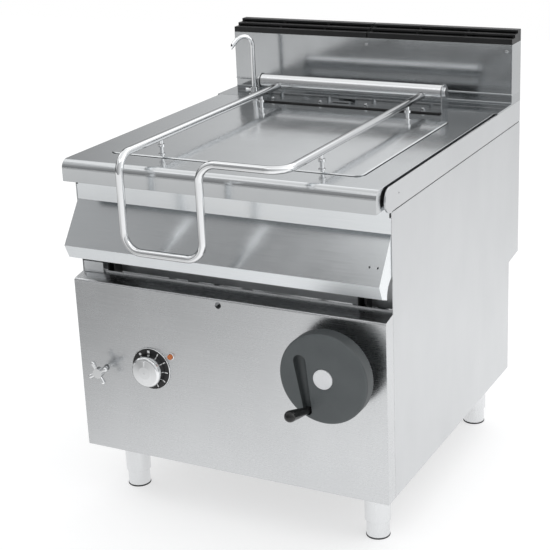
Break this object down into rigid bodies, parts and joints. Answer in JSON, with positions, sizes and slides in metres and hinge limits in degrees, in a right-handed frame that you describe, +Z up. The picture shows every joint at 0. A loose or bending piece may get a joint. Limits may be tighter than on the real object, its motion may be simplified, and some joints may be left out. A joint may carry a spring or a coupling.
{
  "type": "tilting bratt pan",
  "caption": "Free-standing tilting bratt pan in satin steel: hinged lid with a bent tube handle, handwheel tilting drive, gas thermostat, water tap and flue",
  "frame": {"origin": "On the floor, in the middle of the overall box: midway between the cabinet's sides and midway between the tip of the unfolded crank grip and the rear screws", "axes": "+X to the right for a person who faces the front panel, +Y from the front panel to the back, +Z up. The cabinet is shown at rest: pan level, lid shut, crank grip folded out"},
  "size_m": [0.8, 1.062, 1.048],
  "materials": {
    "satin": "satin",
    "polished": "polished",
    "inner": "plain",
    "black_steel": "semi matt",
    "cast": "matt enamel",
    "wheel": "matt",
    "grip": "glossy",
    "cap": "glossy",
    "dial": "satin",
    "marks": "matt",
    "lens": "glossy",
    "brass": "plain",
    "machined": "machined",
    "wool": "matt"
  },
  "bodies": {
    "cabinet": {"base_frame": "inner", "side_panel_left": "satin", "side_panel_right": "satin", "front_panel": "satin", "back_panel": "satin", "side_rail_left": "satin", "side_rail_right": "satin", "pivot_post_left": "black_steel", "pivot_post_right": "black_steel", "pivot_pins": "machined", "rear_deck": "satin", "splash_shield": "inner", "flue_box": "satin", "flue_duct": "inner", "flue_grate_left": "cast", "flue_grate_right": "cast", "foot_sleeves": "satin", "blank_plate": "satin", "pilot_lamp": "lens", "thermostat_dial": "dial", "dial_marks": "marks", "gas_valve": "brass", "gas_pipes": "brass", "burner_tubes": "inner", "burner_shelf": "inner", "water_valve": "brass", "water_pipes": "machined", "tap_base": "polished", "drive_bearing": "machined", "worm_bearings": "machined", "panel_screws": "machined"},
    "pan": {"pan_worktop": "satin", "pan_well": "inner", "pan_insulation": "wool", "pan_casing": "inner", "pan_hood": "satin", "pivot_ears": "inner", "tilt_sector": "machined", "hinge_bracket": "satin", "hinge_bolts": "machined", "hinge_pins": "polished"},
    "lid": {"lid_cover": "satin", "lid_liner": "inner", "lid_posts": "polished", "lid_handle": "polished", "hinge_tube": "polished"},
    "handwheel_set": {"handwheel": "wheel", "wheel_cap": "cap", "drive_shaft": "machined", "bevel_pinion": "machined"},
    "worm_set": {"worm_shaft": "machined", "bevel_gear": "machined"},
    "crank": {"crank_grip": "grip"},
    "knob": {"thermostat_knob": "polished"},
    "valve_cross": {"valve_handle": "polished"},
    "spout": {"tap_spout": "polished"},
    "foot_fl": {"foot_front_left": "satin"},
    "foot_fr": {"foot_front_right": "satin"},
    "foot_rl": {"foot_rear_left": "satin"},
    "foot_rr": {"foot_rear_right": "satin"}
  },
  "joints": [
    {"name": "pan_tilt", "type": "hinge", "parent": "cabinet", "child": "pan", "pos_m": [0, -0.34659, 0.63], "axis": [1, 0, 0], "range_deg": [0, 80]},
    {"name": "lid_open", "type": "hinge", "parent": "pan", "child": "lid", "pos_m": [0, 0.32141, 0.918], "axis": [-1, 0, 0], "range_deg": [0, 85]},
    {"name": "wheel_turn", "type": "hinge", "parent": "cabinet", "child": "handwheel_set", "pos_m": [0.282, -0.36859, 0.453], "axis": [0, -1, 0], "range_deg": [0, 8960]},
    {"name": "worm_turn", "type": "hinge", "parent": "cabinet", "child": "worm_set", "pos_m": [0.282, -0.16059, 0.6], "axis": [0, 0, -1], "range_deg": [0, 8960]},
    {"name": "crank_fold", "type": "hinge", "parent": "handwheel_set", "child": "crank", "pos_m": [0.244, -0.43359, 0.373], "axis": [0.9895, 0, 0.1444], "range_deg": [-76, 10]},
    {"name": "thermostat_turn", "type": "hinge", "parent": "cabinet", "child": "knob", "pos_m": [-0.2, -0.36859, 0.372], "axis": [0, -1, 0], "range_deg": [0, 270]},
    {"name": "valve_turn", "type": "hinge", "parent": "cabinet", "child": "valve_cross", "pos_m": [-0.327, -0.36859, 0.355], "axis": [0, -1, 0], "range_deg": [0, 540]},
    {"name": "spout_swivel", "type": "hinge", "parent": "cabinet", "child": "spout", "pos_m": [-0.301, 0.37741, 0.966], "axis": [0, 0, 1], "range_deg": [-40, 95]},
    {"name": "foot_fl_extend", "type": "slide", "parent": "cabinet", "child": "foot_fl", "axis": [0, 0, -1], "range_m": [0, 0.03]},
    {"name": "foot_fr_extend", "type": "slide", "parent": "cabinet", "child": "foot_fr", "axis": [0, 0, -1], "range_m": [0, 0.03]},
    {"name": "foot_rl_extend", "type": "slide", "parent": "cabinet", "child": "foot_rl", "axis": [0, 0, -1], "range_m": [0, 0.03]},
    {"name": "foot_rr_extend", "type": "slide", "parent": "cabinet", "child": "foot_rr", "axis": [0, 0, -1], "range_m": [0, 0.03]}
  ],
  "couplings": [
    {"joint": "wheel_turn", "follows": "pan_tilt", "ratio": 112},
    {"joint": "worm_turn", "follows": "pan_tilt", "ratio": 112}
  ]
}
